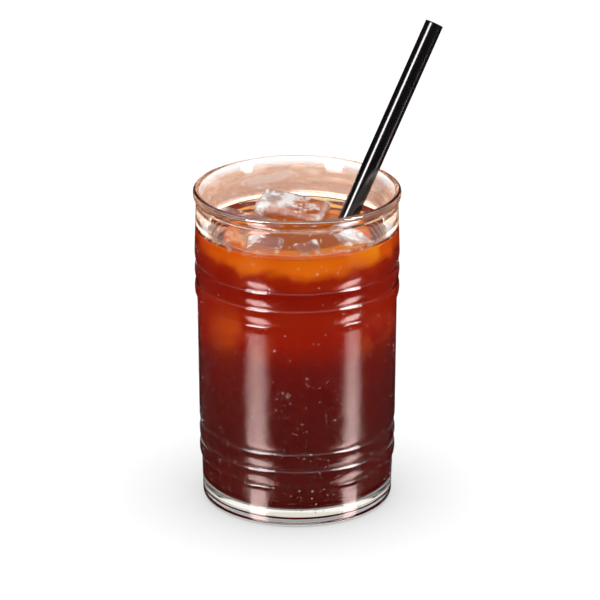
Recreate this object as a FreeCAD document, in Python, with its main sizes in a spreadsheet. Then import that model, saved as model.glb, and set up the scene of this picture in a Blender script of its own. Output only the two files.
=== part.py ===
"""Iced coffee in a straight-sided tumbler with rings, with ice cubes and a black straw.

Millimetres.  The origin is the centre of the circle that the tumbler stands on, and +Z is up.
The glass and the drink in it are outlines revolved about Z.  The straw and the ice cubes take
their places from the bore of the glass, the fill level and named gaps.
"""
import FreeCAD
import Part
import Sketcher
import math
import os

doc = FreeCAD.newDocument("iced_coffee")


# ------------------------------------------------------------------ driving dimensions
sheet = doc.addObject("Spreadsheet::Sheet", "sizes")

DIMENSIONS = [
    # alias, value, what it is
    ("glass_height", 113.5, "foot to lip"),
    ("lip_radius", 36.0, "outside of the round bead at the lip"),
    ("bead_round", 1.1, "radius of the bead's section"),
    ("bead_tail", 4.4, "lip to where the bead meets the neck"),
    ("neck_radius", 35.0, "outside, under the bead"),
    ("upper_ring_radius", 35.6, "outside, over the upper rings"),
    ("waist_top_radius", 34.75, "outside, under the upper rings"),
    ("lower_ring_radius", 34.4, "outside, over the lower rings"),
    ("heel_top_radius", 33.6, "outside, under the lower rings"),
    ("heel_radius", 33.3, "outside, where the foot's rounding starts"),
    ("heel_round", 2.0, "rounding between wall and foot"),
    ("groove_count", 3, "grooves in each group"),
    ("groove_pitch", 6.4, "from one groove to the next"),
    ("groove_width", 1.3, "across one groove"),
    ("groove_depth", 0.4, "below the edges of the groove"),
    ("ring_crown", 0.4, "how far a ring swells beyond its edges"),
    ("upper_groove_drop", 25.8, "lip to the highest groove"),
    ("lower_groove_height", 15.3, "foot to the lowest groove"),
    ("bore_top_radius", 31.9, "inside, at the foot of the flare"),
    ("flare_height", 9.0, "lip to the foot of the inside flare"),
    ("bore_foot_radius", 30.0, "inside, where the floor's rounding starts"),
    ("bore_round", 4.5, "rounding between wall and floor"),
    ("floor_thickness", 4.6, "solid glass under the drink"),
    ("hollow_radius", 25.0, "shallow hollow under the foot"),
    ("hollow_depth", 0.9, "height of that hollow"),
    ("hollow_slope", 3.0, "width of that hollow's sloping edge"),
    ("fill_drop", 14.4, "lip to the surface of the drink"),
    ("straw_diameter", 6.4, "outside of the tube"),
    ("straw_wall", 0.4, "wall of the tube"),
    ("straw_length", 178.0, "end to end"),
    ("straw_turn", 23.5, "degrees from +X to the side it leans to"),
    ("straw_surface_radius", 19.0, "from the glass's axis to the tube's, at the drink's surface"),
    ("straw_foot_inset", 3.8, "from the bore at the floor in to the tube's axis"),
    ("straw_floor_gap", 0.2, "clear under the lowest point of the tube"),
    ("ice_round", 2.4, "melted edges of the cubes"),
    ("ice_taper", 2.0, "degrees, the sides of a cube out of its tray"),
    ("ice_wall_gap", 0.5, "least distance from a cube to the bore"),
]

# The cubes that break the surface.  rise is how far the highest point stands above the
# drink; bearing is the direction from the glass's axis, in degrees from +X; turn is about Z,
# roll about the cube's length and pitch about its width.
CUBE_FIELDS = ("length", "width", "height", "rise", "bearing", "inset", "turn", "roll", "pitch")
CUBES = {
    "ice_back": (26.0, 15.0, 22.0, 7.0, 96.0, 0.0, -16.0, 11.0, 9.0),
    "ice_left": (25.0, 13.0, 13.0, 4.0, 165.0, 0.0, -30.0, 38.0, 3.0),
    "ice_front_left": (14.0, 14.0, 20.0, 2.2, 239.0, 0.0, -8.0, 9.0, 3.0),
    "ice_front": (10.5, 14.0, 18.0, 1.4, 281.0, 1.5, 12.0, 5.0, -6.0),
    "ice_front_right": (12.0, 16.0, 21.0, 2.6, 328.0, 0.0, 24.0, 7.0, 5.0),
}


def fill_sheet():
    """One row for each named size: alias, plain number, note."""
    rows = list(DIMENSIONS)
    for cube, values in CUBES.items():
        for field, value in zip(CUBE_FIELDS, values):
            rows.append(("%s_%s" % (cube, field), value, field + " of " + cube))
    for row, (alias, value, note) in enumerate(rows, start=1):
        sheet.set("A%d" % row, alias)
        sheet.set("B%d" % row, str(value))
        sheet.set("C%d" % row, note)
        sheet.setAlias("B%d" % row, alias)
    doc.recompute()


def value_of(expression):
    """The number that an expression on the sheet's aliases gives."""
    return float(sheet.evalExpression(expression))


def bound(expression):
    """The same expression as another object writes it: every alias read from the sheet."""
    text = expression
    for alias in sorted((row[0] for row in DIMENSIONS), key=len, reverse=True):
        text = text.replace(alias, "<<" + alias + ">>")
    return text.replace("<<", "sizes.").replace(">>", "")


fill_sheet()

# Heights and radii that more than one outline uses, as expressions on the sheet.
LEVEL = "(glass_height - fill_drop)"
BORE_FOOT_Z = "(floor_thickness + bore_round)"
BORE_TOP_Z = "(glass_height - flare_height)"
BORE_SLOPE = "((bore_top_radius - bore_foot_radius) / (%s - %s))" % (BORE_TOP_Z, BORE_FOOT_Z)
BORE_AT_LEVEL = "(bore_foot_radius + %s * (%s - %s))" % (BORE_SLOPE, LEVEL, BORE_FOOT_Z)


def bore_radius(z):
    """Inside radius of the glass on its straight stretch."""
    return value_of("bore_foot_radius") + value_of(BORE_SLOPE) * (z - value_of(BORE_FOOT_Z))


# ------------------------------------------------------------------ sketches
def origin_plane(body, role):
    return next(item for item in body.Origin.OriginFeatures if item.Role == role)


def new_sketch(body, name, role):
    sketch = body.newObject("Sketcher::SketchObject", name)
    sketch.AttachmentSupport = [(origin_plane(body, role), "")]
    sketch.MapMode = "FlatFace"
    return sketch


def straight(radius, height):
    """A corner of an outline, with a straight edge to the next corner."""
    return (radius, height, None, 0)


def curved(radius, height, sagitta, side):
    """A corner with an arc to the next one.  side is 1 where the arc bulges to the right of
    the way of travel, and -1 to the left; sagitta is how far it stands off its chord."""
    return (radius, height, sagitta, side)


def arc_radius(corner, following):
    """Expression for the radius of the arc between two corners, from chord and sagitta."""
    chord = "((%s - %s)^2 + (%s - %s)^2)" % (following[0], corner[0], following[1], corner[1])
    return "(%s / (8 * (%s)) + (%s) / 2)" % (chord, corner[2], corner[2])


def draw_outline(sketch, corners):
    """Closed outline through corners given as expressions, every one bound to the sheet."""
    places = [FreeCAD.Vector(value_of(c[0]), value_of(c[1]), 0) for c in corners]
    ends = []
    for index, corner in enumerate(corners):
        start = places[index]
        stop = places[(index + 1) % len(places)]
        if corner[2] is None:
            edge = sketch.addGeometry(Part.LineSegment(start, stop), False)
        else:
            along = (stop - start).normalize()
            right = FreeCAD.Vector(along.y, -along.x, 0)
            crest = (start + stop) * 0.5 + right * (corner[3] * value_of(corner[2]))
            edge = sketch.addGeometry(Part.Arc(start, crest, stop), False)
        forward = sketch.getPoint(edge, 1).distanceToPoint(start) < 1e-6
        ends.append((edge, 1, 2) if forward else (edge, 2, 1))
    for index, corner in enumerate(corners):
        edge, first, last = ends[index]
        next_edge, next_first, _ = ends[(index + 1) % len(ends)]
        sketch.addConstraint(Sketcher.Constraint("Coincident", edge, last, next_edge, next_first))
        bind_corner(sketch, edge, first, corner)
        if corner[2] is not None:
            following = corners[(index + 1) % len(corners)]
            radius = arc_radius(corner, following)
            made = sketch.addConstraint(Sketcher.Constraint("Radius", edge, value_of(radius)))
            sketch.setExpression("Constraints[%d]" % made, bound(radius))


def bind_corner(sketch, edge, end, corner):
    """Horizontal and vertical distance of an outline's corner from the origin."""
    for kind, axis, expression in (("DistanceX", -2, corner[0]), ("DistanceY", -1, corner[1])):
        if expression == "0":
            sketch.addConstraint(Sketcher.Constraint("PointOnObject", edge, end, axis))
            continue
        distance = Sketcher.Constraint(kind, -1, 1, edge, end, value_of(expression))
        made = sketch.addConstraint(distance)
        sketch.setExpression("Constraints[%d]" % made, bound(expression))


def revolved_body(name, corners):
    """A body that is one outline turned about Z."""
    body = doc.addObject("PartDesign::Body", name)
    sketch = new_sketch(body, name + "_outline", "XZ_Plane")
    draw_outline(sketch, corners)
    turned = body.newObject("PartDesign::Revolution", name + "_turned")
    turned.Profile = sketch
    turned.ReferenceAxis = (sketch, ["V_Axis"])
    turned.Angle = 360
    body.Label = name
    return body


# ------------------------------------------------------------------ tumbler
QUARTER = "(1 - sqrt(0.5))"     # sagitta of a quarter circle over its radius
RING_SPAN = "(groove_pitch - groove_width)"
RING_ARC = "((%s^2 / 4 + ring_crown^2) / (2 * ring_crown))" % RING_SPAN
HALF_RING = "(%s - sqrt(%s^2 - %s^2 / 16 - ring_crown^2 / 4))" % (RING_ARC, RING_ARC, RING_SPAN)


def ring_group(lowest_groove, under_radius, crown_radius):
    """Corners of one group of grooves with rings between them, from below upwards.

    It starts at the lower edge of the lowest groove, on the wall below, and ends where the
    half ring over the highest groove has swollen out to the crown.
    """
    edge_radius = "(%s - ring_crown)" % crown_radius
    corners = []
    for groove in range(int(value_of("groove_count"))):
        middle = "(%s + %d * groove_pitch)" % (lowest_groove, groove)
        below = under_radius if groove == 0 else edge_radius
        corners.append(curved(below, "(%s - groove_width / 2)" % middle, "groove_depth", -1))
        highest = groove == int(value_of("groove_count")) - 1
        crown = HALF_RING if highest else "ring_crown"
        corners.append(curved(edge_radius, "(%s + groove_width / 2)" % middle, crown, 1))
    corners.append(straight(crown_radius, "(%s + groove_pitch / 2)" % middle))
    return corners


def bore_corners():
    """Inside of the glass, from the foot of the flare down to the middle of the floor."""
    return [
        straight("bore_top_radius", BORE_TOP_Z),
        curved("bore_foot_radius", BORE_FOOT_Z, "(bore_round * %s)" % QUARTER, -1),
        straight("(bore_foot_radius - bore_round)", "floor_thickness"),
        straight("0", "floor_thickness"),
    ]


def tangent_sagitta(run, offset):
    """Sagitta of an arc that leaves a wall along it and moves offset away over run."""
    radius = "((%s^2 + %s^2) / (2 * %s))" % (run, offset, offset)
    return "(%s - sqrt(%s^2 - (%s^2 + %s^2) / 4))" % (radius, radius, run, offset)


def make_tumbler():
    """Pressed glass: hollowed foot, heel, two groups of rings, neck, round lip and bore."""
    lip_z = "(glass_height - bead_round)"
    bead_quarter = "(bead_round * %s)" % QUARTER
    bead_tail = tangent_sagitta("(bead_tail - bead_round)", "(lip_radius - neck_radius)")
    mouth_radius = "(lip_radius - 2 * bead_round)"
    flare = tangent_sagitta("(flare_height - bead_round)", "(%s - bore_top_radius)" % mouth_radius)
    upper_lowest = "(glass_height - upper_groove_drop - (groove_count - 1) * groove_pitch)"
    corners = [
        straight("0", "hollow_depth"),
        straight("hollow_radius", "hollow_depth"),
        straight("(hollow_radius + hollow_slope)", "0"),
        curved("(heel_radius - heel_round)", "0", "(heel_round * %s)" % QUARTER, 1),
        straight("heel_radius", "heel_round"),
    ]
    corners += ring_group("lower_groove_height", "heel_top_radius", "lower_ring_radius")
    corners += ring_group(upper_lowest, "waist_top_radius", "upper_ring_radius")
    corners += [
        curved("neck_radius", "(glass_height - bead_tail)", bead_tail, 1),
        curved("lip_radius", lip_z, bead_quarter, 1),
        curved("(lip_radius - bead_round)", "glass_height", bead_quarter, 1),
        curved(mouth_radius, lip_z, flare, 1),
    ]
    return revolved_body("tumbler", corners + bore_corners())


# ------------------------------------------------------------------ straw
def straw_stance():
    """Tilt from the vertical, and the height and radius of the middle of the lower end.

    The tube's axis crosses the drink's surface at a stated radius on one side, and stands
    near the bore on the other side with its lowest point just clear of the floor.
    """
    foot_radius = value_of("bore_foot_radius - straw_foot_inset")
    reach = value_of("straw_surface_radius") + foot_radius
    tilt = 0.0
    for _ in range(20):
        lift = value_of("straw_diameter / 2") * math.sin(tilt)
        foot_z = value_of("floor_thickness + straw_floor_gap") + lift
        tilt = math.atan2(reach, value_of(LEVEL) - foot_z)
    return tilt, foot_z, foot_radius


def make_straw():
    """Straight plastic tube, open at both ends, leaning across the glass."""
    body = doc.addObject("PartDesign::Body", "straw")
    sketch = new_sketch(body, "straw_section", "XY_Plane")
    for diameter in ("straw_diameter", "(straw_diameter - 2 * straw_wall)"):
        centre = FreeCAD.Vector(0, 0, 0)
        upward = FreeCAD.Vector(0, 0, 1)
        circle = sketch.addGeometry(Part.Circle(centre, upward, value_of(diameter) / 2), False)
        sketch.addConstraint(Sketcher.Constraint("Coincident", circle, 3, -1, 1))
        made = sketch.addConstraint(Sketcher.Constraint("Diameter", circle, value_of(diameter)))
        sketch.setExpression("Constraints[%d]" % made, bound(diameter))
    tube = body.newObject("PartDesign::Pad", "straw_tube")
    tube.Profile = sketch
    tube.setExpression("Length", bound("straw_length"))
    tilt, foot_z, foot_radius = straw_stance()
    turn = FreeCAD.Rotation(FreeCAD.Vector(0, 0, 1), value_of("straw_turn"))
    lean = FreeCAD.Rotation(FreeCAD.Vector(0, 1, 0), math.degrees(tilt))
    foot = turn.multVec(FreeCAD.Vector(-foot_radius, 0, foot_z))
    body.Placement = FreeCAD.Placement(foot, turn * lean)
    body.Label = "straw"
    return body


# ------------------------------------------------------------------ ice
def cube_place(name):
    """Where a cube floats: its highest point at the stated rise, and moved out along its
    bearing until its nearest rounded corner is the stated gap from the bore."""
    size = {field: value_of("%s_%s" % (name, field)) for field in CUBE_FIELDS}
    turn = FreeCAD.Rotation(FreeCAD.Vector(0, 0, 1), size["turn"])
    roll = FreeCAD.Rotation(FreeCAD.Vector(1, 0, 0), size["roll"])
    pitch = FreeCAD.Rotation(FreeCAD.Vector(0, 1, 0), size["pitch"])
    attitude = turn * roll * pitch
    edge = value_of("ice_round")
    corners = []
    for x in (-0.5, 0.5):
        for y in (-0.5, 0.5):
            for z in (-0.5, 0.5):
                corner = FreeCAD.Vector(x * (size["length"] - 2 * edge),
                                        y * (size["width"] - 2 * edge),
                                        z * (size["height"] - 2 * edge))
                corners.append(attitude.multVec(corner))
    centre_z = value_of(LEVEL) + size["rise"] - edge - max(corner.z for corner in corners)
    gap = edge + value_of("ice_wall_gap") + size["inset"]
    bearing = math.radians(size["bearing"])
    nearest = 0.0
    farthest = value_of("bore_top_radius")
    for _ in range(40):
        radius = (nearest + farthest) / 2
        centre = FreeCAD.Vector(radius * math.cos(bearing), radius * math.sin(bearing), centre_z)
        fits = all(math.hypot(centre.x + c.x, centre.y + c.y) + gap <= bore_radius(centre.z + c.z)
                   for c in corners)
        if fits:
            nearest = radius
        else:
            farthest = radius
    return FreeCAD.Placement(centre, attitude)


def make_cube(name):
    """A cube from a tray: a tapered block whose edges have melted round."""
    body = doc.addObject("PartDesign::Body", name)
    sketch = new_sketch(body, name + "_section", "XY_Plane")
    half_length = value_of(name + "_length") / 2
    half_width = value_of(name + "_width") / 2
    ring = [FreeCAD.Vector(-half_length, -half_width, 0), FreeCAD.Vector(half_length, -half_width, 0),
            FreeCAD.Vector(half_length, half_width, 0), FreeCAD.Vector(-half_length, half_width, 0)]
    for index in range(4):
        sketch.addGeometry(Part.LineSegment(ring[index], ring[(index + 1) % 4]), False)
    for index in range(4):
        sketch.addConstraint(Sketcher.Constraint("Coincident", index, 2, (index + 1) % 4, 1))
    sketch.addConstraint(Sketcher.Constraint("Horizontal", 0))
    sketch.addConstraint(Sketcher.Constraint("Horizontal", 2))
    sketch.addConstraint(Sketcher.Constraint("Vertical", 1))
    sketch.addConstraint(Sketcher.Constraint("Vertical", 3))
    sketch.addConstraint(Sketcher.Constraint("Symmetric", 0, 1, 1, 2, -1, 1))
    for edge, kind, field in ((0, "DistanceX", "length"), (1, "DistanceY", "width")):
        alias = "%s_%s" % (name, field)
        made = sketch.addConstraint(Sketcher.Constraint(kind, edge, 1, edge, 2, value_of(alias)))
        sketch.setExpression("Constraints[%d]" % made, "sizes." + alias)
    block = body.newObject("PartDesign::Pad", name + "_block")
    block.Profile = sketch
    block.setExpression("Length", "sizes.%s_height" % name)
    block.setExpression("TaperAngle", "-" + bound("ice_taper"))
    doc.recompute()
    melted = body.newObject("PartDesign::Fillet", name + "_melted")
    melted.Base = (block, ["Face1"])
    melted.UseAllEdges = True
    melted.setExpression("Radius", bound("ice_round"))
    middle = FreeCAD.Placement(FreeCAD.Vector(0, 0, -value_of(name + "_height") / 2),
                               FreeCAD.Rotation())
    body.Placement = cube_place(name) * middle
    body.Label = name
    return body


# ------------------------------------------------------------------ coffee
def make_coffee(pieces_in_it):
    """The drink: the bore filled to the level, less the straw's wall and the ice."""
    corners = [
        straight("0", "floor_thickness"),
        curved("(bore_foot_radius - bore_round)", "floor_thickness",
               "(bore_round * %s)" % QUARTER, 1),
        straight("bore_foot_radius", BORE_FOOT_Z),
        straight(BORE_AT_LEVEL, LEVEL),
        straight("0", LEVEL),
    ]
    poured = revolved_body("poured_coffee", corners)
    sunk = doc.addObject("Part::MultiFuse", "pieces_in_coffee")
    sunk.Shapes = pieces_in_it
    coffee = doc.addObject("Part::Cut", "coffee")
    coffee.Base = poured
    coffee.Tool = sunk
    coffee.Label = "coffee"
    return coffee


# ------------------------------------------------------------------ build, check and write
def check_document(pieces):
    """Stops if an object failed quietly or a piece is not one closed solid."""
    for item in doc.Objects:
        if "Invalid" in item.State or "Error" in item.State:
            raise RuntimeError("%s: %s" % (item.Label, item.State))
    for piece in pieces:
        shape = piece.Shape
        if shape.isNull() or not shape.isValid() or len(shape.Solids) != 1:
            raise RuntimeError("%s is not one valid solid" % piece.Label)


tumbler = make_tumbler()
straw = make_straw()
cubes = [make_cube(cube_name) for cube_name in CUBES]
coffee = make_coffee([straw] + cubes)
doc.recompute()

nodes = [tumbler, coffee, straw] + cubes
check_document(nodes)
os.makedirs("parts", exist_ok=True)
for node in nodes:
    node.Shape.exportStep("parts/%s.step" % node.Label)
    print("%-16s volume %9.1f mm3  box %s" % (node.Label, node.Shape.Volume, node.Shape.BoundBox))
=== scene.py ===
import math

import bmesh
import bpy
from mathutils import Matrix, Vector, noise


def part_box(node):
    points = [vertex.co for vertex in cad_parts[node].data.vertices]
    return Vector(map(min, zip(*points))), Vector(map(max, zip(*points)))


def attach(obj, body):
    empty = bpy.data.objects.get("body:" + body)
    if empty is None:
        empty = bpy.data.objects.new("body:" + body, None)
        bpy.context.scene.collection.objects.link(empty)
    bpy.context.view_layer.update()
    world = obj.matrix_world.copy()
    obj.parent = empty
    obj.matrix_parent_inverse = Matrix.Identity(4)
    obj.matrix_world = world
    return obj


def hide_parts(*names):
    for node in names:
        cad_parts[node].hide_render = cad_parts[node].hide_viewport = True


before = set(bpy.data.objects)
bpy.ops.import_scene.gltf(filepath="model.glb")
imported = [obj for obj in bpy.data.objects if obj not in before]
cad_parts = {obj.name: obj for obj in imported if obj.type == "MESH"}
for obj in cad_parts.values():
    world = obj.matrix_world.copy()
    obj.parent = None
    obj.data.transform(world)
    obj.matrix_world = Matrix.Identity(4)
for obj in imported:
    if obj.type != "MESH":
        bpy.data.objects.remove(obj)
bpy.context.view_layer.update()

# ---------------------------------------------------------------- tumbler
# A clear pressed tumbler of soda-lime glass: a foot with a shallow hollow, two groups of three
# grooves with soft rings between them, and a fire-polished bead at the lip.  It is round, so
# its section is drawn once and turned about the axis.

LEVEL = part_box("coffee")[1][2]
GLASS_HEIGHT = 0.1135
LIP_RADIUS, BEAD_ROUND, BEAD_TAIL, NECK_RADIUS = 0.0360, 0.0011, 0.0044, 0.0350
UPPER_RING, WAIST_TOP, LOWER_RING, HEEL_TOP, HEEL = 0.0356, 0.03475, 0.0344, 0.0336, 0.0333
GROOVE_PITCH, GROOVE_WIDTH, GROOVE_DEPTH, RING_CROWN = 0.0064, 0.0013, 0.0004, 0.0004
UPPER_DROP, LOWER_FOOT = 0.0258, 0.0153
UPPER_GROOVES = [GLASS_HEIGHT - UPPER_DROP - GROOVE_PITCH * step for step in range(3)]
LOWER_GROOVES = [LOWER_FOOT + GROOVE_PITCH * step for step in (2, 1, 0)]
BORE_TOP, FLARE_HEIGHT, BORE_FOOT, BORE_ROUND = 0.0319, 0.0090, 0.0300, 0.0045
FLOOR = 0.0046
HOLLOW_RADIUS, HOLLOW_SLOPE, HOLLOW_DEPTH, HOLLOW_BOW = 0.0250, 0.0030, 0.0009, 0.0002
HEEL_ROUND = 0.0020
RAIL_RADIUS, MERGE_WITHIN = 0.001, 0.000002
TOWARDS_AXIS, NEAR_FLOOR = 0.0002, 0.02


def bow(start, end, rise, steps):
    """Points from start up to end along an arc that stands rise to the left of its chord."""
    chord = math.dist(start, end)
    radius = (chord * chord / 4 + rise * rise) / (2 * abs(rise))
    half = math.asin(min(1.0, chord / 2 / radius))
    along = ((end[0] - start[0]) / chord, (end[1] - start[1]) / chord)
    side = (-along[1] * math.copysign(1, rise), along[0] * math.copysign(1, rise))
    points = []
    for step in range(steps):
        angle = -half + 2 * half * step / steps
        out = radius * math.cos(angle) - radius * math.cos(half)
        forward = chord / 2 + radius * math.sin(angle)
        points.append((start[0] + along[0] * forward + side[0] * out,
                       start[1] + along[1] * forward + side[1] * out))
    return points


def leave(run, offset):
    """Rise of an arc that leaves a wall along it and moves offset away over run."""
    radius = (run * run + offset * offset) / (2 * offset)
    return radius - math.sqrt(radius * radius - (run * run + offset * offset) / 4)


def run_to(start, end, steps):
    """Evenly spaced points on a straight stretch of a section, without its end."""
    return [(start[0] + (end[0] - start[0]) * step / steps,
             start[1] + (end[1] - start[1]) * step / steps) for step in range(steps)]


def bore_radius(height):
    """Inside radius of the tumbler on its straight stretch."""
    foot, top = FLOOR + BORE_ROUND, GLASS_HEIGHT - FLARE_HEIGHT
    return BORE_FOOT + (BORE_TOP - BORE_FOOT) * (height - foot) / (top - foot)


def ring_group(grooves, crown_radius, below_radius):
    """Section down the outside over a group of grooves, from the swell above the highest."""
    edge = crown_radius - RING_CROWN
    points = []
    for number, groove in enumerate(grooves):
        last = number == len(grooves) - 1
        top, foot = groove + GROOVE_WIDTH / 2, groove - GROOVE_WIDTH / 2
        if number == 0:
            swell = (crown_radius, groove + GROOVE_PITCH / 2)
            points += bow(swell, (edge, top), leave(swell[1] - top, RING_CROWN), 8)
        points += bow((edge, top), (below_radius if last else edge, foot), -GROOVE_DEPTH, 8)
        if not last:
            next_top = grooves[number + 1] + GROOVE_WIDTH / 2
            points += bow((edge, foot), (edge, next_top), RING_CROWN, 14)
    return points + [(below_radius, grooves[-1] - GROOVE_WIDTH / 2)]


def quarter(radius):
    """Rise of a quarter round over its chord."""
    return radius * (1 - math.sqrt(0.5))


mouth = (LIP_RADIUS - 2 * BEAD_ROUND, GLASS_HEIGHT - BEAD_ROUND)
flare_foot = (BORE_TOP, GLASS_HEIGHT - FLARE_HEIGHT)
bore_foot = (BORE_FOOT, FLOOR + BORE_ROUND)
bead_side = (LIP_RADIUS, GLASS_HEIGHT - BEAD_ROUND)
neck = (NECK_RADIUS, GLASS_HEIGHT - BEAD_TAIL)
upper_group = ring_group(UPPER_GROOVES, UPPER_RING, WAIST_TOP)
lower_group = ring_group(LOWER_GROOVES, LOWER_RING, HEEL_TOP)
tumbler_section = (
    run_to((0, FLOOR), (BORE_FOOT - BORE_ROUND, FLOOR), 8)
    + bow((BORE_FOOT - BORE_ROUND, FLOOR), bore_foot, -quarter(BORE_ROUND), 12)
    + run_to(bore_foot, (bore_radius(LEVEL), LEVEL), 24)
    + run_to((bore_radius(LEVEL), LEVEL), flare_foot, 4)
    + bow(flare_foot, mouth, leave(mouth[1] - flare_foot[1], mouth[0] - flare_foot[0]), 12)
    + bow(mouth, (LIP_RADIUS - BEAD_ROUND, GLASS_HEIGHT), quarter(BEAD_ROUND), 6)
    + bow((LIP_RADIUS - BEAD_ROUND, GLASS_HEIGHT), bead_side, quarter(BEAD_ROUND), 6)
    + bow(bead_side, neck, leave(bead_side[1] - neck[1], LIP_RADIUS - NECK_RADIUS), 8)
    + run_to(neck, upper_group[0], 8)
    + upper_group
    + run_to(upper_group[-1], lower_group[0], 16)[1:]
    + lower_group
    + run_to(lower_group[-1], (HEEL, HEEL_ROUND), 8)[1:]
    + bow((HEEL, HEEL_ROUND), (HEEL - HEEL_ROUND, 0), quarter(HEEL_ROUND), 8)
    + run_to((HEEL - HEEL_ROUND, 0), (HOLLOW_RADIUS + HOLLOW_SLOPE, 0), 2)
    + bow((HOLLOW_RADIUS + HOLLOW_SLOPE, 0), (HOLLOW_RADIUS, HOLLOW_DEPTH), HOLLOW_BOW, 5)
    + run_to((HOLLOW_RADIUS, HOLLOW_DEPTH), (0, HOLLOW_DEPTH), 6)
    + [(0, HOLLOW_DEPTH)]
)


class Wire:
    """One socket of a node tree.  Sums written with it add Math nodes to that tree."""

    def __init__(self, tree, socket=None):
        self.tree, self.socket = tree, socket

    def node(self, kind, settings=None, values=None):
        """Any other node: its settings first, then the values or links of its sockets."""
        made = self.tree.nodes.new(kind)
        for name, setting in (settings or {}).items():
            if name == "stops":
                ramp = made.color_ramp
                while len(ramp.elements) < len(setting):
                    ramp.elements.new(0.5)
                for element, (place, colour) in zip(ramp.elements, setting):
                    element.position, element.color = place, (*colour, 1)
            else:
                setattr(made, name, setting)
        for name, value in (values or {}).items():
            if isinstance(value, Wire):
                self.tree.links.new(value.socket, made.inputs[name])
            else:
                made.inputs[name].default_value = value
        outputs = [output for output in made.outputs if output.enabled]
        return Wire(self.tree, outputs[0] if outputs else None)

    def out(self, name):
        return Wire(self.tree, self.socket.node.outputs[name])

    def sum(self, operation, *terms):
        return self.node("ShaderNodeMath", {"operation": operation}, dict(enumerate(terms)))

    def __add__(self, other):
        return self.sum("ADD", self, other)

    def __sub__(self, other):
        return self.sum("SUBTRACT", self, other)

    def __rsub__(self, other):
        return self.sum("SUBTRACT", other, self)

    def __mul__(self, other):
        return self.sum("MULTIPLY", self, other)

    def __pow__(self, other):
        return self.sum("POWER", self, other)

    def __gt__(self, other):
        return self.sum("GREATER_THAN", self, other)

    def __lt__(self, other):
        return self.sum("LESS_THAN", self, other)

    __radd__, __rmul__ = __add__, __mul__

    def vector(self, operation, *others, output="Value"):
        """Vector Math on this vector and any others."""
        terms = dict(enumerate((self, *others)))
        return self.node("ShaderNodeVectorMath", {"operation": operation}, terms).out(output)

    def part(self, axis):
        """The X, Y or Z of a vector."""
        return self.node("ShaderNodeSeparateXYZ", None, {"Vector": self}).out(axis)

    def noise(self, scale, **more):
        """Soft noise over the places that this wire carries."""
        return self.node("ShaderNodeTexNoise", None, {"Vector": self, "Scale": scale, **more})

    def tint(self, low, high, **settings):
        """The colour low where this is 0, and high where it is 1."""
        return self.node("ShaderNodeMix", {"data_type": "RGBA", **settings},
                         {"Factor": self, "A": low, "B": high}).out("Result")

    def blend(self, low, high):
        """0 below low, 1 above high, and a smooth step between them."""
        return self.node("ShaderNodeMapRange", {"interpolation_type": "SMOOTHSTEP"},
                         {"Value": self, "From Min": low, "From Max": high})


def finish(name):
    """A new material with an empty tree, and a wire to build that tree with."""
    material = bpy.data.materials.new(name)
    material.use_nodes = True
    material.node_tree.nodes.clear()
    return material, Wire(material.node_tree)


def looks_out(facing, place):
    """How much a face looks away from the axis: on a wall, its distance from the axis."""
    return facing.vector("MULTIPLY", (1, 1, 0), output="Vector").vector("DOT_PRODUCT", place)


def recipe(name, inputs):
    """A Geometry Nodes tree with named inputs, and a wire to each of them."""
    tree = bpy.data.node_groups.new(name, "GeometryNodeTree")
    tree.interface.new_socket("Geometry", in_out="OUTPUT", socket_type="NodeSocketGeometry")
    for label, kind, value in [("Geometry", "Geometry", None)] + inputs:
        socket = tree.interface.new_socket(label, in_out="INPUT", socket_type="NodeSocket" + kind)
        if value is not None:
            socket.default_value = value
    start = Wire(tree).node("NodeGroupInput")
    return tree, {label: start.out(label) for label in ["Geometry"] + [row[0] for row in inputs]}


def finished_recipe(tree, shape, material):
    """Closes a tree: instances made real, the finish put on, and the result handed out."""
    real = shape.node("GeometryNodeRealizeInstances", None, {"Geometry": shape})
    coated = real.node("GeometryNodeSetMaterial", None, {"Geometry": real, "Material": material})
    real.node("NodeGroupOutput", None, {"Geometry": coated})
    return tree


def show(name, mesh):
    piece = bpy.data.objects.new(name, mesh)
    bpy.context.scene.collection.objects.link(piece)
    return piece


def made(name, source, tree, **sizes):
    """What a tree makes of a source object, as a plain mesh piece with smooth faces."""
    modifier = source.modifiers.new("made", "NODES")
    modifier.node_group = tree
    for item in tree.interface.items_tree:
        if item.in_out == "INPUT" and item.name in sizes:
            modifier[item.identifier] = sizes[item.name]
    bpy.context.view_layer.update()
    graph = bpy.context.evaluated_depsgraph_get()
    mesh = bpy.data.meshes.new_from_object(source.evaluated_get(graph))
    source.modifiers.remove(modifier)
    mesh.name = name
    mesh.shade_smooth()
    return show(name, mesh)


# Cold mist lies on the outside below the neck.  Inside, above the drink, the back of the wall
# carries a streaked peach to cream film, fainter towards the front, and a cream line runs along
# it where the drink ends.  Both glow by emission as painted light: the film faintly, the line
# brightly.
WALL_FROM_AXIS = 0.020
MIST_FOOT, MIST_THINS, MIST_TOP = (0.004, 0.014), (0.052, 0.082), (0.094, 0.101)
FILM_FOOT, FILM_TOP, FILM_THINS = 0.0985, (0.1092, 0.1116), (-0.022, 0.012)
CREAM_FOOT, CREAM_TOP = LEVEL + 0.0003, (LEVEL + 0.0015, LEVEL + 0.0019)

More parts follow.
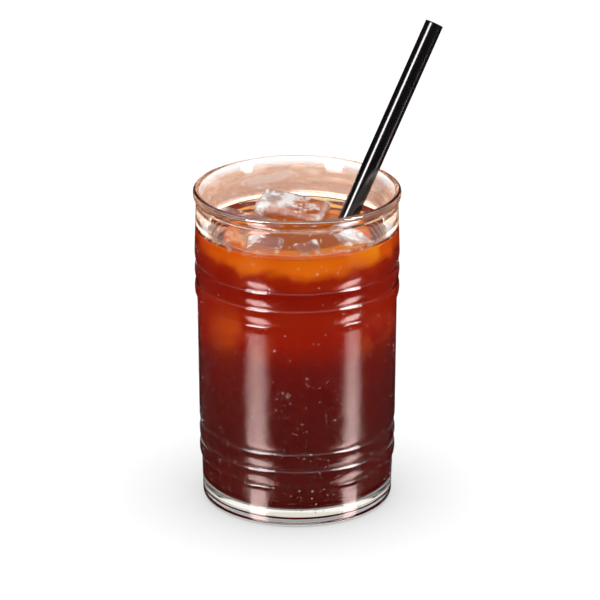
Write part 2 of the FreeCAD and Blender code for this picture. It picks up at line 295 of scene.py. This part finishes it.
clear_glass, w = finish("clear_pressed_glass")
place = w.node("ShaderNodeTexCoord").out("Object")
height = place.part("Z")
outward = looks_out(w.node("ShaderNodeNewGeometry").out("Normal"), place)
breath = place.noise(70.0, Detail=3.0).blend(0.36, 0.60)
specks = place.noise(2200.0, Detail=2.0).blend(0.38, 0.64)
cold = (height.blend(*MIST_FOOT) * (1 - 0.75 * height.blend(*MIST_THINS))
        * (1 - height.blend(*MIST_TOP)))
outside = outward > WALL_FROM_AXIS
mist = outside * cold * (0.4 + 0.6 * breath) * (0.45 + 0.55 * specks)
uneven = w.node("ShaderNodeBump", None, {
    "Strength": 0.06, "Distance": 0.0006, "Height": place.noise(60.0, Detail=1.0)})
uneven = w.node("ShaderNodeBump", None, {
    "Strength": 0.30, "Distance": 0.00005, "Height": outside * cold * specks, "Normal": uneven})
wall = w.node("ShaderNodeBsdfPrincipled", None, {
    "Base Color": (0.985, 0.99, 0.988, 1), "Roughness": 0.0, "IOR": 1.5,
    "Transmission Weight": 1.0, "Coat Weight": 0.14 * mist, "Coat Roughness": 0.20,
    "Coat IOR": 1.5, "Normal": uneven})
film_streaks = w.node("ShaderNodeMapping", None, {"Vector": place, "Scale": (55.0, 55.0, 260.0)})
film_streaks = film_streaks.noise(1.0, Detail=3.0, Distortion=0.8)
film_band = ((outward < -WALL_FROM_AXIS) * (height > FILM_FOOT)
            * (1 - height.blend(*FILM_TOP)))
# The cream line at the drink's level is a painted bright line that glows by emission.
glowing_cream_line = film_band * (1 - height.blend(*CREAM_TOP)) * (height > CREAM_FOOT)
film = (film_band * (0.46 + 0.34 * film_streaks.blend(0.36, 0.62))
        * (0.18 + 0.82 * place.part("Y").blend(*FILM_THINS)))
film = w.sum("MAXIMUM", film, glowing_cream_line)
film_and_line_colour = (film_streaks.blend(0.50, 0.70) * 0.7 + glowing_cream_line).tint(
    (0.56, 0.28, 0.160, 1), (0.95, 0.83, 0.72, 1))
# Painted light: the film glows faintly by emission, and the cream line glows brightly.
film_with_glow = w.node("ShaderNodeBsdfPrincipled", None, {
    "Base Color": film_and_line_colour, "Roughness": 0.35, "Specular IOR Level": 0.1,
    "Emission Color": glowing_cream_line.tint((0.13, 0.08, 0.05, 1), (1.0, 0.90, 0.74, 1)),
    "Emission Strength": 1.0})
glass_skin = w.node("ShaderNodeMixShader", None, {0: film, 1: wall, 2: film_with_glow})
w.node("ShaderNodeOutputMaterial", None, {"Surface": glass_skin})

# Under the drink the glass meets liquid, which hides its inner face: there the step in
# refraction is only from 1.34 to 1.50.
wetted_glass, w = finish("wetted_glass")
wetted = w.node("ShaderNodeBsdfPrincipled", None, {
    "Base Color": (1.0, 1.0, 1.0, 1), "Roughness": 0.0, "IOR": 1.12, "Transmission Weight": 1.0})
w.node("ShaderNodeOutputMaterial", None, {"Surface": wetted})

tree, given = recipe("turned_on_the_axis", [
    ("Turns", "Int", 256), ("Rail", "Float", RAIL_RADIUS), ("Finish", "Material", None)])
line = given["Geometry"].node("GeometryNodeMeshToCurve", None, {"Mesh": given["Geometry"]})
rail = line.node("GeometryNodeCurvePrimitiveCircle", None,
                 {"Resolution": given["Turns"], "Radius": given["Rail"]})
turned = line.node("GeometryNodeCurveToMesh", None, {"Curve": rail, "Profile Curve": line})
closed = line.node("GeometryNodeMergeByDistance", None,
                   {"Geometry": turned, "Distance": MERGE_WITHIN})
turned_on_axis = finished_recipe(tree, closed, given["Finish"])


def turned_piece(name, section, material):
    """A round piece from its half section, listed with the outside on the left."""
    line = bpy.data.meshes.new(name + "_section")
    line.from_pydata([(radius - RAIL_RADIUS, -height, 0) for radius, height in section],
                     [(step, step + 1) for step in range(len(section) - 1)], [])
    source = show(name + "_section", line)
    piece = made(name, source, turned_on_axis, Finish=material)
    bpy.data.objects.remove(source)
    return piece


tumbler = turned_piece("clear_tumbler", tumbler_section, clear_glass)
tumbler.data.materials.append(wetted_glass)
for face in tumbler.data.polygons:
    spot, facing = face.center, face.normal
    bore_wall = spot.x * facing.x + spot.y * facing.y < -TOWARDS_AXIS
    bore_floor = facing.z > 0.5 and spot.z < NEAR_FLOOR
    in_bore = spot.z < LEVEL and math.hypot(spot.x, spot.y) < BORE_TOP
    face.material_index = int(in_bore and (bore_wall or bore_floor))
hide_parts("tumbler")
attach(tumbler, "root")

# ---------------------------------------------------------------- ice
# Cubes from a tray of boiled tap water: tapered blocks whose edges have melted round.  Those at
# the surface are clear and wet with frosted skins that also carry a painted highlight and painted
# colour of the drink, and more lie sunk in the drink under them.

ICE_ROUND, ICE_TAPER, MELTED_AWAY = 0.0024, 0.035, 0.00030
MELT_PER_METRE, MELT_DEPTH, MELT_SHIFT = 105, 0.00080, 7.1
PITS_PER_METRE, PIT_DEPTH, PIT_SHIFT = 420, 0.00014, 3.7
FACE_CUTS = 21
HOLLOW_INSET = 0.00004


def melted_cube(size, turn, roll, pitch, centre, seed, swell=0.0):
    """One cube: a block rounded to a radius, tapered, and melted unevenly."""
    shape = bmesh.new()
    bmesh.ops.create_cube(shape, size=2.0)
    bmesh.ops.subdivide_edges(shape, edges=shape.edges, cuts=FACE_CUTS, use_grid_fill=True)
    half = Vector(size) / 2
    melt_shift, pit_shift = Vector((seed * MELT_SHIFT, 0, 0)), Vector((0, seed * PIT_SHIFT, 0))
    attitude = (Matrix.Rotation(math.radians(turn), 3, "Z")
                @ Matrix.Rotation(math.radians(roll), 3, "X")
                @ Matrix.Rotation(math.radians(pitch), 3, "Y"))
    for vertex in shape.verts:
        on_block = Vector(part * whole for part, whole in zip(vertex.co, half))
        core = Vector(max(-h + ICE_ROUND, min(h - ICE_ROUND, v)) for v, h in zip(on_block, half))
        away = on_block - core
        skin = away.normalized() if away.length > 1e-9 else Vector(vertex.co)
        rounded = core + skin * (ICE_ROUND + swell)
        rounded.x *= 1 - ICE_TAPER * rounded.z / half.z
        rounded.y *= 1 - ICE_TAPER * rounded.z / half.z
        melt = noise.noise(rounded * MELT_PER_METRE + melt_shift) * MELT_DEPTH
        melt += noise.noise(rounded * PITS_PER_METRE + pit_shift) * PIT_DEPTH
        vertex.co = centre + attitude @ (rounded + skin * (melt - MELTED_AWAY))
    bmesh.ops.recalc_face_normals(shape, faces=shape.faces)
    return shape


def block(name, shapes, material):
    """A piece from one or more bmesh shapes."""
    mesh = bpy.data.meshes.new(name)
    joined = bmesh.new()
    for shape in shapes:
        part = bpy.data.meshes.new("part")
        shape.to_mesh(part)
        joined.from_mesh(part)
        bpy.data.meshes.remove(part)
    joined.to_mesh(mesh)
    joined.free()
    mesh.materials.append(material)
    mesh.shade_smooth()
    return show(name, mesh)


# The skin turns from clear ice to white frost in drifts and at two corners, and is whitened
# along its edges as a painted highlight.  Where it is not white, the drink is painted on it as
# if seen through the ice, amber on one side of the back cube.
FROSTED_CORNERS = [((-0.0070, 0.0150, 0.1050), 0.0100), ((0.0200, -0.0120, 0.1010), 0.0085)]
AMBER_SIDE, AMBER_REACH = (0.0020, 0.0070, 0.1010), (0.009, 0.015)
WET_LINE = (LEVEL - 0.0012, LEVEL + 0.0006)

wet_ice, w = finish("wet_ice")
place = w.node("ShaderNodeTexCoord").out("Object")
height = place.part("Z")
patch = place.noise(150.0, Detail=3.0)
grain = place.noise(900.0, Detail=4.0)
dents = w.node("ShaderNodeBump", None, {
    "Strength": 0.35, "Distance": 0.0006, "Height": patch + 0.3 * grain})
# Painted highlight: the skin is whitened along its edges.
edges = w.node("ShaderNodeNewGeometry").out("Pointiness").blend(0.505, 0.545)
frost_and_edge_highlight = (patch + 0.35 * grain).blend(0.70, 0.86) * 0.8
for corner, reach in FROSTED_CORNERS:
    close = 1 - place.vector("DISTANCE", corner).blend(reach * 0.35, reach * 0.85)
    frost_and_edge_highlight = frost_and_edge_highlight + close * (0.4 + 0.8 * patch.blend(0.40, 0.60))
frost_and_edge_highlight = w.sum("MINIMUM", frost_and_edge_highlight + 0.75 * edges, 1.0)
frost_and_highlight_share = (0.56 + 0.42 * frost_and_edge_highlight) * height.blend(*WET_LINE)
# Painted view of the drink through the ice: amber near one side of the back cube, dull red
# elsewhere.
amber = 1 - place.vector("DISTANCE", AMBER_SIDE).blend(*AMBER_REACH)
painted_drink_seen_through = amber.tint((0.27, 0.120, 0.120, 1), (0.50, 0.100, 0.005, 1))
clear = w.node("ShaderNodeBsdfPrincipled", None, {
    "Base Color": (0.99, 0.985, 0.98, 1), "Roughness": 0.02 + 0.22 * grain.blend(0.5, 0.8),
    "IOR": 1.31, "Transmission Weight": 1.0, "Normal": dents})
drowned = w.node("ShaderNodeBsdfRefraction", None, {
    "Color": (1, 1, 1, 1), "Roughness": 0.0, "IOR": 1.0})
clear = w.node("ShaderNodeMixShader", None, {0: height < LEVEL, 1: clear, 2: drowned})
white = w.node("ShaderNodeBsdfPrincipled", None, {
    "Base Color": frost_and_edge_highlight.tint(painted_drink_seen_through, (0.92, 0.90, 0.89, 1)), "Roughness": 0.25,
    "Specular IOR Level": 0.6, "Normal": dents})
skin = w.node("ShaderNodeMixShader", None, {0: frost_and_highlight_share, 1: clear, 2: white})
w.node("ShaderNodeOutputMaterial", None, {"Surface": skin})

SURFACE_ICE = {
    # cube: size, turn, roll, pitch
    "ice_back": ((0.0260, 0.0150, 0.0220), -16, 11, 9),
    "ice_left": ((0.0250, 0.0130, 0.0130), -30, 38, 3),
    "ice_front_left": ((0.0140, 0.0140, 0.0200), -8, 9, 3),
    "ice_front": ((0.0105, 0.0140, 0.0180), 12, 5, -6),
    "ice_front_right": ((0.0120, 0.0160, 0.0210), 24, 7, 5),
}
SUNKEN_ICE = [
    # size, turn, roll, pitch, centre
    ((0.0170, 0.0150, 0.0180), 28, 24, 12, (-0.0135, -0.0145, 0.0660)),
    ((0.0150, 0.0140, 0.0170), -35, 14, 22, (0.0170, -0.0090, 0.0650)),
    ((0.0180, 0.0140, 0.0160), 10, -18, 15, (0.0040, 0.0190, 0.0660)),
    ((0.0150, 0.0150, 0.0150), 50, 20, -12, (-0.0180, 0.0130, 0.0700)),
]
hollows = []
for seed, (node, (size, turn, roll, pitch)) in enumerate(SURFACE_ICE.items()):
    low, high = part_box(node)
    middle = (Vector(low) + Vector(high)) / 2
    cube = block("wet_" + node, [melted_cube(size, turn, roll, pitch, middle, seed)], wet_ice)
    if node == "ice_front_right":
        hollows.append(melted_cube(size, turn, roll, pitch, middle, seed, -HOLLOW_INSET))
    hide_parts(node)
    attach(cube, "root")
sunken = []
for seed, (size, turn, roll, pitch, centre) in enumerate(SUNKEN_ICE, start=11):
    middle = Vector(centre)
    sunken.append(melted_cube(size, turn, roll, pitch, middle, seed))
    hollows.append(melted_cube(size, turn, roll, pitch, middle, seed, -HOLLOW_INSET))
sunken_ice = block("sunken_ice", sunken, wet_ice)
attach(sunken_ice, "root")

# ---------------------------------------------------------------- coffee
# Strong cold black coffee, a clear liquid that looks amber where it is thin and nearly black
# where it is deep.  It wets the glass, stands up at the wall, and closes round the ice.

INTO_WALL = 0.00004
MENISCUS_RISE, MENISCUS_REACH, MENISCUS_BANK = 0.0010, 0.0016, 0.007
SKIN_DEPTH, WALL_START = 0.0004, 0.0005
WAVES_PER_METRE, WAVE_HEIGHT, STILL_BY_WALL = 90, 0.00022, 0.004
SURFACE_WITHIN, HELD_BY_WALL = 0.0001, 0.0005

black_coffee, w = finish("clear_black_coffee")
place = w.node("ShaderNodeTexCoord").out("Object")
calm = w.node("ShaderNodeBump", None, {
    "Strength": 0.10, "Distance": 0.0008, "Height": place.noise(120.0, Detail=2.0)})
drink = w.node("ShaderNodeBsdfPrincipled", None, {
    "Base Color": (1.0, 0.97, 0.93, 1), "Roughness": 0.0, "IOR": 1.34,
    "Transmission Weight": 1.0, "Normal": calm})
against_glass = w.node("ShaderNodeBsdfRefraction", None, {
    "Color": (1, 1, 1, 1), "Roughness": 0.0, "IOR": 1.0})
drink = w.node("ShaderNodeMixShader", None, {
    0: place.part("Z") < LEVEL - SKIN_DEPTH, 1: drink, 2: against_glass})
depth = w.node("ShaderNodeVolumeAbsorption", None, {
    "Color": (0.917, 0.667, 0.0, 1), "Density": 300.0})
w.node("ShaderNodeOutputMaterial", None, {"Surface": drink, "Volume": depth})

wall_radius = bore_radius(LEVEL) + INTO_WALL
coffee_section = run_to((0, LEVEL), (wall_radius - MENISCUS_BANK, LEVEL), 24)
for step in range(25):
    radius = wall_radius - MENISCUS_BANK * (1 - step / 24)
    rise = MENISCUS_RISE * math.exp((radius - wall_radius) / MENISCUS_REACH)
    coffee_section.append((radius, LEVEL + rise))
coffee_foot = (BORE_FOOT + INTO_WALL, FLOOR + BORE_ROUND)
coffee_floor = (BORE_FOOT - BORE_ROUND, FLOOR - INTO_WALL)
coffee_base = (0, FLOOR - INTO_WALL)
coffee_section += run_to((wall_radius, LEVEL - WALL_START), coffee_foot, 24)
coffee_section += bow(coffee_foot, coffee_floor, quarter(BORE_ROUND + INTO_WALL), 12)
coffee_section += run_to(coffee_floor, coffee_base, 8) + [coffee_base]

poured = turned_piece("poured", coffee_section, black_coffee)
for vertex in poured.data.vertices:
    radius = math.hypot(vertex.co.x, vertex.co.y)
    if vertex.co.z > LEVEL - SURFACE_WITHIN and radius < wall_radius - HELD_BY_WALL:
        free = min(1.0, (wall_radius - radius) / STILL_BY_WALL)
        vertex.co.z += noise.noise(vertex.co * WAVES_PER_METRE) * WAVE_HEIGHT * free
cutter = block("ice_hollows", hollows, black_coffee)
cut = poured.modifiers.new("ice_hollows", "BOOLEAN")
cut.operation, cut.solver, cut.object = "DIFFERENCE", "EXACT", cutter
bpy.context.view_layer.update()
graph = bpy.context.evaluated_depsgraph_get()
coffee_mesh = bpy.data.meshes.new_from_object(poured.evaluated_get(graph))
coffee_mesh.name = "black_coffee"
coffee_mesh.shade_smooth()
coffee = show("black_coffee", coffee_mesh)
bpy.data.objects.remove(poured)
bpy.data.objects.remove(cutter)
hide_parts("coffee")
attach(coffee, "root")

# ---------------------------------------------------------------- depths of the drink
# Fine grounds and oils make the drink cloudy a few millimetres in, so its deeper part is drawn as
# an opaque core that glows by emission.  Its colours are painted light: amber on top and under
# the ice, where light comes in, a painted darker band at the upper grooves, and maroon to black
# below.

CLEAR_DEPTH, CLEAR_LAYER_TOP, CLEAR_LAYER_FOOT = 0.0028, 0.0052, 0.00006
THICKENS_FROM, THICKENS_OVER = 0.045, LEVEL - 0.055
SHOULDER = 0.006
ICE_GLOW_REACH, UPPER_FACE = (0.006, 0.017), (0.93, 0.995)
PAINTED_DRINK_GLOW = [
    # share of the drink's height, painted glow colour
    (0.00, (0.040, 0.0004, 0.0001)),
    (0.30, (0.042, 0.0003, 0.0001)),
    (0.45, (0.062, 0.0003, 0.0001)),
    (0.58, (0.105, 0.0004, 0.0001)),
    (0.68, (0.260, 0.0060, 0.0002)),
    (0.77, (0.275, 0.0110, 0.0003)),
    (0.855, (0.205, 0.0030, 0.0002)),
    (0.905, (0.330, 0.0200, 0.0003)),
    (0.935, (0.800, 0.2300, 0.0030)),
    (1.00, (0.950, 0.4000, 0.0150)),
]

glowing_cloudy_core, w = finish("painted_glow_coffee")
place = w.node("ShaderNodeTexCoord").out("Object")
drift = place.noise(55.0, Detail=3.0, Distortion=0.6)
veils = place.noise(210.0, Detail=2.0)
level = (place.part("Z") + 0.010 * (drift - 0.5) + 0.003 * (veils - 0.5)) * (1 / LEVEL)
# Painted glow by height: bright amber at the top, a painted darker band at the upper grooves, dark
# below.
body = w.node("ShaderNodeValToRGB", {"stops": PAINTED_DRINK_GLOW}, {"Fac": level})
# Painted glow round each sunken ice cube.
painted_glow_near_ice = 0.0
for size, turn, roll, pitch, centre in SUNKEN_ICE:
    painted_glow_near_ice = painted_glow_near_ice + (1 - place.vector("DISTANCE", centre).blend(*ICE_GLOW_REACH))
glow = (painted_glow_near_ice * drift.blend(0.38, 0.62) * 0.8).tint(
    body, (0.38, 0.095, 0.006, 1), blend_type="ADD")
# Painted light: faces of the core that look up glow a fixed amber.
painted_lit_top = w.node("ShaderNodeNewGeometry").out("Normal").part("Z").blend(*UPPER_FACE)
# The core glows by emission, though it is no lamp.
glowing_depths = w.node("ShaderNodeBsdfPrincipled", None, {
    "Base Color": (0.02, 0.002, 0.001, 1), "Roughness": 0.6, "Specular IOR Level": 0.0,
    "Emission Color": painted_lit_top.tint(glow, (0.42, 0.115, 0.014, 1)), "Emission Strength": 1.0})
w.node("ShaderNodeOutputMaterial", None, {"Surface": glowing_depths})


def clear_layer(height):
    """How far in from the wall the drink turns cloudy."""
    share = max(0.0, min(1.0, (height - THICKENS_FROM) / THICKENS_OVER))
    return CLEAR_LAYER_FOOT + (CLEAR_LAYER_TOP - CLEAR_LAYER_FOOT) * share * share


core_top = LEVEL - CLEAR_DEPTH
core_side_top = core_top - SHOULDER
core_side_foot = FLOOR + BORE_ROUND
core_rim = (bore_radius(core_top) - CLEAR_LAYER_TOP - SHOULDER, core_top)
core_corner = (bore_radius(core_side_top) - clear_layer(core_side_top), core_side_top)
core_foot = (BORE_FOOT - BORE_ROUND, FLOOR + CLEAR_LAYER_FOOT)
core_base = (0, FLOOR + CLEAR_LAYER_FOOT)
core_section = run_to((0, core_top), core_rim, 12)
core_section += bow(core_section[-1], core_corner, quarter(SHOULDER), 10)[1:]
for step in range(31):
    height = core_side_top + (core_side_foot - core_side_top) * step / 30
    core_section.append((bore_radius(height) - clear_layer(height), height))
core_section += bow(core_section[-1], core_foot, quarter(BORE_ROUND), 10)[1:]
core_section += run_to(core_foot, core_base, 6) + [core_base]
depths = turned_piece("coffee_depths", core_section, glowing_cloudy_core)
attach(depths, "root")

# ---------------------------------------------------------------- condensation
# Water from the air beads on the cold glass: a scatter of small lens-shaped drops, thickest on
# the lower half, sitting on the outside wall.

DROP_FLATNESS = 0.55
THINS_OUT = (0.050, 0.085)

water, w = finish("clear_water")
bead = w.node("ShaderNodeBsdfPrincipled", None, {
    "Base Color": (1.0, 1.0, 1.0, 1), "Roughness": 0.0, "IOR": 1.33, "Transmission Weight": 1.0})
w.node("ShaderNodeOutputMaterial", None, {"Surface": bead})

tree, given = recipe("beads_on_a_wall", [
    ("Density", "Float", 480000.0), ("Seed", "Int", 7), ("Lowest", "Float", 0.005),
    ("Highest", "Float", 0.100), ("Smallest", "Float", 0.00007), ("Largest", "Float", 0.00042),
    ("Finish", "Material", None)])
w = Wire(tree)
place = w.node("GeometryNodeInputPosition")
outward = looks_out(w.node("GeometryNodeInputNormal"), place)
height = place.part("Z")
wall = (outward > WALL_FROM_AXIS) * (height > given["Lowest"]) * (height < given["Highest"])
patches = place.noise(45.0).blend(0.35, 0.65)
low_half = 1 - 0.6 * height.blend(*THINS_OUT)
spots = w.node("GeometryNodeDistributePointsOnFaces", None, {
    "Mesh": given["Geometry"], "Selection": wall, "Seed": given["Seed"],
    "Density": given["Density"] * (0.3 + 0.7 * patches) * low_half})
chance = w.node("FunctionNodeRandomValue", {"data_type": "FLOAT"}, {"Seed": 3}).out("Value")
size = given["Smallest"] + (given["Largest"] - given["Smallest"]) * chance ** 6.0
flat = w.node("ShaderNodeCombineXYZ", None, {"X": size, "Y": size, "Z": size * DROP_FLATNESS})
ball = w.node("GeometryNodeMeshIcoSphere", None, {"Radius": 1.0, "Subdivisions": 1})
beads = w.node("GeometryNodeInstanceOnPoints", None, {
    "Points": spots, "Instance": ball, "Rotation": spots.out("Rotation"), "Scale": flat})
beads_on_wall = finished_recipe(tree, beads, given["Finish"])
drops = made("condensation_drops", tumbler, beads_on_wall, Finish=water)
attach(drops, "root")

# ---------------------------------------------------------------- froth
# Small bubbles left from pouring.  They gather along the wall, before the back cube and in a
# patch at the front left, and stand mostly out of the drink.

FROTH_PATCH, PATCH_REACH = (-0.0235, -0.0090, 0.099), (0.006, 0.014)
FROTH_BY_ICE, BY_ICE_REACH = (0.002, 0.0045, 0.099), (0.004, 0.010)
AT_WALL, SURFACE_DEPTH, FACES_UP = (-0.0016, -0.0004), 0.0006, 0.3

bubble_film, w = finish("bubble_film")
rim_light = w.node("ShaderNodeLayerWeight", None, {"Blend": 0.35}).out("Facing")
shell = w.node("ShaderNodeBsdfPrincipled", None, {
    "Base Color": (0.95, 0.74, 0.50, 1), "Roughness": 0.10, "Specular IOR Level": 0.9})
inside = w.node("ShaderNodeBsdfPrincipled", None, {
    "Base Color": (1.0, 0.93, 0.82, 1), "Roughness": 0.0, "IOR": 1.05, "Transmission Weight": 1.0})
bubble = w.node("ShaderNodeMixShader", None, {
    0: 0.15 + 0.75 * rim_light ** 2.0, 1: inside, 2: shell})
w.node("ShaderNodeOutputMaterial", None, {"Surface": bubble})

tree, given = recipe("bubbles_on_the_drink", [
    ("Level", "Float", LEVEL), ("Wall", "Float", 0.0318), ("Density", "Float", 1200000.0),
    ("Smallest", "Float", 0.00016), ("Largest", "Float", 0.00085), ("Finish", "Material", None)])
w = Wire(tree)
place = w.node("GeometryNodeInputPosition")
facing_up = w.node("GeometryNodeInputNormal").part("Z") > FACES_UP
surface = facing_up * (place.part("Z") > given["Level"] - SURFACE_DEPTH)
radius = place.vector("MULTIPLY", (1, 1, 0), output="Vector").vector("LENGTH")
at_wall = (radius - given["Wall"]).blend(*AT_WALL)
near = w.sum("MAXIMUM", 1 - place.vector("DISTANCE", FROTH_PATCH).blend(*PATCH_REACH),
             1 - place.vector("DISTANCE", FROTH_BY_ICE).blend(*BY_ICE_REACH))
clusters = place.noise(260.0, Detail=2.0)
gathered = clusters.blend(0.50, 0.62) * (0.12 + 0.88 * near)
thick = w.sum("MAXIMUM", 0.35 * at_wall * clusters.blend(0.45, 0.60), gathered)
spots = w.node("GeometryNodeDistributePointsOnFaces", None, {
    "Mesh": given["Geometry"], "Selection": surface, "Seed": 4,
    "Density": given["Density"] * thick})
chance = w.node("FunctionNodeRandomValue", {"data_type": "FLOAT"}, {"Seed": 8}).out("Value")
size = given["Smallest"] + (given["Largest"] - given["Smallest"]) * chance ** 3.0
round_size = w.node("ShaderNodeCombineXYZ", None, {"X": size, "Y": size, "Z": size})
ball = w.node("GeometryNodeMeshUVSphere", None, {"Radius": 1.0, "Segments": 8, "Rings": 5})
lifted = w.node("ShaderNodeCombineXYZ", None, {"Z": size * 0.5})
spots = w.node("GeometryNodeSetPosition", None, {"Geometry": spots, "Offset": lifted})
balls = w.node("GeometryNodeInstanceOnPoints", None, {
    "Points": spots, "Instance": ball, "Scale": round_size})
bubbles_on_drink = finished_recipe(tree, balls, given["Finish"])
froth = made("surface_bubbles", coffee, bubbles_on_drink, Finish=bubble_film)
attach(froth, "root")

# ---------------------------------------------------------------- straw
# A straight drinking straw, extruded in black polypropylene and cut square at both ends.
# The tube's gloss is a little uneven from handling, and it only leans in the glass.

black_plastic, w = finish("glossy_black_straw")
place = w.node("ShaderNodeTexCoord").out("Object")
handled = place.noise(120.0, Detail=3.0)
tube = w.node("ShaderNodeBsdfPrincipled", None, {
    "Base Color": (0.004, 0.004, 0.005, 1), "Roughness": 0.10 + 0.12 * handled, "IOR": 1.49})
w.node("ShaderNodeOutputMaterial", None, {"Surface": tube})
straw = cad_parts["straw"]
straw.data.materials.clear()
straw.data.materials.append(black_plastic)

# ---------------------------------------------------------------- studio
# A white table that sweeps up behind the glass, and a soft lamp to each side of the camera.
# In what mirrors it the table is a dark gloss, which carries each lamp down as a streak.

TABLE_FRONT, TABLE_BACK, TABLE_HALF_WIDTH, SWEEP_ROUND, SWEEP_TOP = -1.6, 1.2, 3.0, 0.8, 3.0
CONTACT_SHADE, OVERHEAD = 0.05, (0.45, 0.75)
AIM_HEIGHT, WARM_WHITE = 0.06, (1.0, 0.93, 0.91)

room, w = finish("white_sweep")
path = w.node("ShaderNodeLightPath")
mirrored = path.out("Is Glossy Ray") * (1 - path.out("Is Transmission Ray"))
# Painted contact shadow: the table glows by emission, darker where ambient occlusion finds the
# glass close by.
painted_contact_shade = w.node("ShaderNodeAmbientOcclusion", {"samples": 6},
                {"Distance": CONTACT_SHADE}).out("AO")
lit = w.node("ShaderNodeEmission", None, {"Color": 0.35 + 0.72 * painted_contact_shade, "Strength": 1.0})
gloss = w.node("ShaderNodeBsdfGlossy", None, {"Color": (0.42, 0.32, 0.31, 1), "Roughness": 0.17})
seen = w.node("ShaderNodeMixShader", None, {0: mirrored, 1: lit, 2: gloss})
w.node("ShaderNodeOutputMaterial", None, {"Surface": seen})
sweep = [(TABLE_FRONT, 0.0), (TABLE_BACK, 0.0)]
for angle in range(6, 91, 6):
    bend = math.radians(angle)
    sweep.append((TABLE_BACK + SWEEP_ROUND * math.sin(bend),
                  SWEEP_ROUND - SWEEP_ROUND * math.cos(bend)))
sweep.append((TABLE_BACK + SWEEP_ROUND, SWEEP_TOP))
floor_mesh = bpy.data.meshes.new("sweep")
corners = [(x, y, z) for y, z in sweep for x in (-TABLE_HALF_WIDTH, TABLE_HALF_WIDTH)]
strips = [(2 * i, 2 * i + 1, 2 * i + 3, 2 * i + 2) for i in range(len(sweep) - 1)]
floor_mesh.from_pydata(corners, [], strips)
floor_mesh.materials.append(room)
floor_mesh.shade_smooth()
floor = show("sweep", floor_mesh)

world = bpy.data.worlds.new("studio")
bpy.context.scene.world = world
world.use_nodes = True
world.node_tree.nodes.clear()
w = Wire(world.node_tree)
path = w.node("ShaderNodeLightPath")
mirrored = path.out("Is Glossy Ray") * (1 - path.out("Is Transmission Ray"))
overhead = w.node("ShaderNodeTexCoord").out("Generated").part("Z").blend(*OVERHEAD)
first = path.out("Glossy Depth") < 1.5
brightness = 1.0 - mirrored * (1.0 - 1.10 * first * overhead)
glow = w.node("ShaderNodeBackground", None, {"Color": brightness, "Strength": 1.0})
w.node("ShaderNodeOutputWorld", None, {"Surface": glow})


def softbox(name, azimuth, elevation, distance, width, height, power, colour):
    """A lamp aimed at the drink.  Azimuth 0 is the camera's side, and runs to the right."""
    lamp = bpy.data.lights.new(name, "AREA")
    lamp.shape, lamp.size, lamp.size_y = "RECTANGLE", width, height
    lamp.energy, lamp.color = power, colour
    stand = bpy.data.objects.new(name, lamp)
    turn, lift = math.radians(azimuth), math.radians(elevation)
    level = Vector((math.sin(turn), -math.cos(turn), 0)) * math.cos(lift)
    aim = level + Vector((0, 0, math.sin(lift)))
    stand.location = Vector((0, 0, AIM_HEIGHT)) + aim * distance
    stand.rotation_euler = aim.to_track_quat("Z", "Y").to_euler()
    stand.visible_diffuse = False
    bpy.context.scene.collection.objects.link(stand)


softbox("strip_left", -47, 30, 0.70, 0.25, 0.45, 11.0, WARM_WHITE)
softbox("strip_right", 66, 30, 0.70, 0.21, 0.45, 10.0, WARM_WHITE)

# ---------------------------------------------------------------- camera
# A long lens about 1.4 metres away, looking down on the rim.

PITCH, REACH, HEIGHT, SIDEWAYS = 20.75, 1.250, 0.5456, 0.001
camera = bpy.data.cameras.new("camera")
camera.lens, camera.sensor_width = 230.0, 36.0
camera.clip_start, camera.clip_end = 0.05, 20.0
viewer = bpy.data.objects.new("camera", camera)
viewer.location = (SIDEWAYS, -REACH, HEIGHT)
viewer.rotation_euler = (math.radians(90 - PITCH), 0, 0)
bpy.context.scene.collection.objects.link(viewer)
bpy.context.scene.camera = viewer
bpy.context.scene.view_settings.view_transform = "Standard"
bounces = bpy.context.scene.cycles
bounces.max_bounces, bounces.transmission_bounces = 24, 20
bounces.glossy_bounces, bounces.diffuse_bounces = 6, 3
